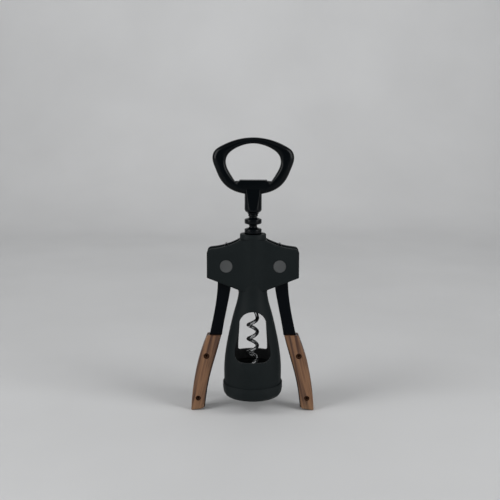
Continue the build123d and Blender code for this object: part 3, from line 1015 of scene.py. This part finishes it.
    def neck(self) -> Grid:
        """The neck: a turned post whose front and back are cut to flats that slope in upwards.

        y = soft minimum of r·|sin a| and f(z), where f falls from the neck's radius at flat_from to
        ring_half at neck_top. The soft minimum of p and q is (p + q - sqrt((p - q)² + e²))/2.

        Returns:
            The grid.
        """
        foot = rounded(self.neck_foot, self.corner, closed=False)
        rise = np.linspace(foot[-1], (self.neck_radius, self.neck_top), self.neck_rows)
        profile = np.vstack((foot, rise[1:], [(POLE, self.neck_top)]))
        grid = revolved(profile, TURN_LARGE)
        share = (grid[:, :, 2] - self.flat_from) / (self.neck_top - self.flat_from)
        flat = self.neck_radius + (self.ring_half - self.neck_radius) * np.clip(share, 0, None)
        depth = np.abs(grid[:, :, 1])
        cut = (depth + flat - np.sqrt((depth - flat) ** 2 + self.flat_blend**2)) / 2
        grid[:, :, 1] = np.sign(grid[:, :, 1]) * np.maximum(cut, 0)
        return grid


def mirrored_outline(half: Outline) -> Profile:
    """Complete a half outline that is given from its foot to its top.

    Args:
        half: The right half.

    Returns:
        The whole, from the left foot over the top to the right.
    """
    right = np.asarray(half)
    left = right[:-1] * (-1, 1)
    return np.vstack((left, right[::-1]))


@dataclass
class Lever:
    """One lever: the arm with its gear, two wooden scales and two dimpled studs."""

    shop: Shop
    side: Side
    edge: float = 0.00035
    outer: Outline = (
        (0.0324, 0.0436), (0.0378, 0.0284), (0.0416, 0.0114), (0.0435, -0.0036), (0.0441, -0.0121),
    )
    inner: Outline = (
        (0.0222, 0.0436), (0.0269, 0.0284), (0.0315, 0.0114), (0.0341, -0.0036), (0.0349, -0.0105),
    )
    rivets: tuple[Place, ...] = ((0.0328, 0.0285, 0.00215), (0.0389, -0.0028, 0.00195))
    tang_half: float = 0.0015
    thick: float = 0.0034
    crown: float = 0.00025
    rounds: tuple[float, float] = (0.00015, 0.0010)
    top_round: float = 0.0005
    tip_round: float = 0.0010
    rows: int = 260
    columns: int = 50
    recess: float = 0.0026
    recess_above: float = 0.7
    snap: float = 0.00012
    rivet_half: float = 0.0043
    rivet_edge: float = 0.0002
    dimple: tuple[float, float] = (0.66, 0.0016)

    def build(self) -> None:
        """Build the lever's pieces."""
        hand = self.side.name.lower()
        body = Body(f"{hand}_lever_body")
        arm = softened_copy(f"{hand}_lever", f"{hand}_arm", self.edge)
        place_piece(arm, body, ARM_BLACK.material(self.shop), f"{hand}_lever")
        wood = OiledWood().material(self.shop, self.side)
        for face in Face:
            name = f"{hand}_{face.name.lower()}"
            made = self.scale(f"{name}_wood", face)
            place_piece(made, body, wood, f"{name}_scale")
        bronze = BRONZE.material(self.shop)
        for level, rivet in zip(("upper", "lower"), self.rivets):
            name = f"{hand}_{level}"
            made = self.rivet(f"{name}_stud", rivet)
            place_piece(made, body, bronze, f"{name}_rivet")

    def scale(self, name: str, face: Face) -> bpy.types.Object:
        """A wooden scale, crowned across, rounded at its edges and sunk round its rivets.

        At row s the section spans from I(s) to O(s) on the handle's two edges. From the tang's face
        it is thick - crown·x² deep, with x from -1 to 1 across. At a distance d from an end it
        draws in by e - sqrt(e² - (e - d)²), where e is that end's rounding. At a rivet the points
        of the outer face that are nearest to its circle move onto it, and those inside sink by
        the recess.

        Args:
            name: The piece's name.
            face: Whether it is at the front or the back.

        Returns:
            The scale.
        """
        outer = spline(self.outer, self.rows)
        inner = spline(self.inner, self.rows)
        length = np.linalg.norm(np.diff((outer + inner) / 2, axis=0), axis=1).sum()
        turn = 1 - np.cos(np.linspace(0, np.pi / 2, 7))[:-1]
        place = np.concatenate((
            self.top_round * turn,
            np.linspace(self.top_round, length - self.tip_round, self.rows),
            length - self.tip_round * turn[::-1],
        ))
        known = np.linspace(0, 1, self.rows)
        outer, inner = (read_along(edge, known, place / length) for edge in (outer, inner))
        draw_in = sum(
            end - np.sqrt(end**2 - np.clip(end - away, 0, None) ** 2)
            for end, away in ((self.top_round, place), (self.tip_round, length - place))
        )
        width = np.linalg.norm(outer - inner, axis=1)
        rise = self.tang_half + self.thick - self.crown - draw_in
        across, level = self.section(width - 2 * draw_in, rise)
        share = (across + draw_in[:, None]) / width[:, None]
        flat = inner[:, None] + share[:, :, None] * (outer - inner)[:, None]
        top = np.clip((level - self.tang_half) / self.thick, 0, 1)
        level = level + self.crown * (1 - (2 * share - 1) ** 2) * top
        face_side = top > self.recess_above
        for *centre, radius in self.rivets:
            offset = flat - centre
            away = np.linalg.norm(offset, axis=-1)
            rim = (np.abs(away - radius) < self.snap) & face_side
            flat[rim] = centre + offset[rim] * (radius / away[rim])[:, None]
            level = level - self.recess * ((away < radius) & ~rim & face_side)
        out, height = self.side.value * flat[:, :, 0], flat[:, :, 1]
        return piece(name, np.stack((out, face.value * level, height), axis=-1))

    def section(self, width: Grid, top: Grid) -> tuple[Grid, Grid]:
        """The scale's section, with evenly spread points on its outer face for crown and recess.

        Args:
            width: How wide each row's section is.
            top: The level of its outer face.

        Returns:
            Two grids: the place across the scale, and the level.
        """
        low_round, high_round = self.rounds
        radii = (low_round, low_round, high_round, high_round)
        across, level = softened_box(width, self.tang_half, top, radii)
        half = across.shape[1] * 3 // 4
        spread = np.linspace(0, 1, self.columns)[1:-1]
        face_across = across[:, half - 1, None] * (1 - spread) + across[:, half, None] * spread
        face_level = np.repeat(level[:, half, None], len(spread), axis=1)
        return (
            np.concatenate((across[:, :half], face_across, across[:, half:]), axis=1),
            np.concatenate((level[:, :half], face_level, level[:, half:]), axis=1),
        )

    def rivet(self, name: str, rivet: Place) -> bpy.types.Object:
        """A rivet: a stud along Y with a dimple in each end.

        Its end is at half - depth·(1 - smoothstep of r/(share·R)), which is depth lower at r = 0.

        Args:
            name: The piece's name.
            rivet: How far out it is, its height and its radius.

        Returns:
            The rivet.
        """
        out, height, radius = rivet
        share, depth = self.dimple
        reach = np.linspace(0.02, 1, 12) * share * radius
        t = reach / (share * radius)
        end = self.rivet_half - depth * (1 - t * t * (3 - 2 * t))
        bowl = np.stack((reach, end), axis=1)
        brink, half = bowl[-1]
        corners = ((brink, half), (radius, half), (radius, -half), (brink, -half))
        edge = rounded(corners, self.rivet_edge, closed=False)
        profile = np.vstack((bowl, edge[1:-1], bowl[::-1] * (1, -1)))
        centre = (self.side.value * out, 0, height)
        return piece(name, revolved(profile, TURN_SMALL, centre, (0, 1, 0)))


# ---------------------------------------------------------------- stage, light and camera


@dataclass(frozen=True)
class Lamp:
    """A rectangular soft lamp, with its width and height, and its power in watts."""

    name: str
    place: Place
    target: Place
    size: tuple[float, float]
    power: float

    def hang(self) -> None:
        """Put the lamp into the scene, pointing at its target."""
        data = bpy.data.lights.new(self.name, "AREA")
        data.shape = "RECTANGLE"
        data.size, data.size_y = self.size
        data.energy = self.power
        made = bpy.data.objects.new(self.name, data)
        made.location = self.place
        made.rotation_euler = turned_to(self.place, self.target)
        bpy.context.scene.collection.objects.link(made)


def turned_to(place: Place, target: Place) -> Euler:
    """The rotation with which a lamp or a camera at a place looks at a target.

    Args:
        place: Where it is.
        target: What it looks at.

    Returns:
        The rotation.
    """
    return (Vector(target) - Vector(place)).to_track_quat("-Z", "Y").to_euler()


LAMPS = (
    Lamp("top", (0.0, -0.85, 0.95), MIDDLE, (1.4, 0.9), 1.5),
    Lamp("left", (-0.80, -0.45, 0.45), MIDDLE, (0.50, 0.84), 7.2),
    Lamp("right", (0.80, -0.45, 0.45), MIDDLE, (0.50, 0.84), 7.2),
    Lamp("backdrop", (0.0, 0.40, 1.05), (0.0, 1.20, 0.62), (1.4, 0.3), 4.5),
)


@dataclass
class Stage:
    """A pale paper sweep, soft lamps and the camera."""

    focal: float = 60.6
    sensor: float = 36.0
    eye: Place = (0.0, -0.580, 0.2084)
    shift: float = -0.006
    lean: float = math.radians(0.2)
    paper: Colour = (0.60, 0.605, 0.61)
    paper_half: float = 2.2
    paper_front: float = -2.0
    paper_back: float = 0.75
    paper_curve: float = 0.45
    paper_top: float = 2.0
    paper_tones: tuple[float, float] = (0.97, 1.03)
    world: float = 0.20

    def build(self) -> None:
        """Build the sweep, the lamps, the world and the camera."""
        self.sweep()
        for lamp in LAMPS:
            lamp.hang()
        sky = bpy.data.worlds.new("room")
        sky.use_nodes = True
        background = next(node for node in sky.node_tree.nodes if node.type == "BACKGROUND")
        background.inputs["Color"].default_value = (1, 1, 1, 1)
        background.inputs["Strength"].default_value = self.world
        bpy.context.scene.world = sky
        bpy.context.scene.view_settings.view_transform = "Standard"
        self.camera()

    def sweep(self) -> None:
        """The paper: level at the height of the lowest piece, then up a quarter round behind.

        Its profile is (y, z), and it runs straight along X.
        """
        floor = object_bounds()[0][2]
        turn = np.linspace(0, np.pi / 2, 25)
        bend = np.stack((
            self.paper_back + self.paper_curve * np.sin(turn),
            floor + self.paper_curve * (1 - np.cos(turn)),
        ), axis=1)
        profile = np.vstack(([(self.paper_front, floor)], bend, [(bend[-1, 0], self.paper_top)]))
        across = np.array((-self.paper_half, self.paper_half))
        grids = np.broadcast_arrays(across[None, :], profile[:, :1], profile[:, 1:])
        grid = np.stack(grids, axis=-1)
        index = np.arange(grid[:, :, 0].size).reshape(-1, 2)
        quads = np.stack((index[:-1, 0], index[:-1, 1], index[1:, 1], index[1:, 0]), axis=1)
        mesh = bpy.data.meshes.new("paper_sweep")
        mesh.from_pydata(grid.reshape(-1, 3), [], quads.tolist())
        sheet = finished(mesh, "paper_sweep", CRISP_FROM)
        made, wire, shader = blank_material("paper")
        space = wire.add("TexCoord").outputs["Object"]
        tone = wire.ranged(wire.noise(space, 6.0, 3.0), 0.3, 0.7, *self.paper_tones)
        base = wire.add("VectorMath", {0: self.paper, "Scale": tone}, operation="SCALE")
        wire.feed(shader, {
            "Base Color": base.outputs["Vector"], "Roughness": 0.9, "Specular IOR Level": 0.1,
        })
        sheet.data.materials.append(made)
        sheet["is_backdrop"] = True

    def camera(self) -> None:
        """The camera, in front and a little above, with a slight lean."""
        data = bpy.data.cameras.new("camera")
        data.lens = self.focal
        data.sensor_width = self.sensor
        data.shift_x = self.shift
        made = bpy.data.objects.new("camera", data)
        made.location = self.eye
        made.rotation_euler = turned_to(self.eye, MIDDLE)
        made.rotation_euler.rotate_axis("Z", self.lean)
        bpy.context.scene.collection.objects.link(made)
        bpy.context.scene.camera = made


def main() -> None:
    """Build every sub-assembly and the stage."""
    logging.basicConfig(level=logging.INFO, format="%(name)s: %(message)s")
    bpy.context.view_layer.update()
    shop = Shop()
    BodyFrame(shop).build()
    Rack(shop).build()
    Spindle(shop).build()
    for side in Side:
        Lever(shop, side).build()
    Stage().build()


if __name__ == "__main__":
    main()
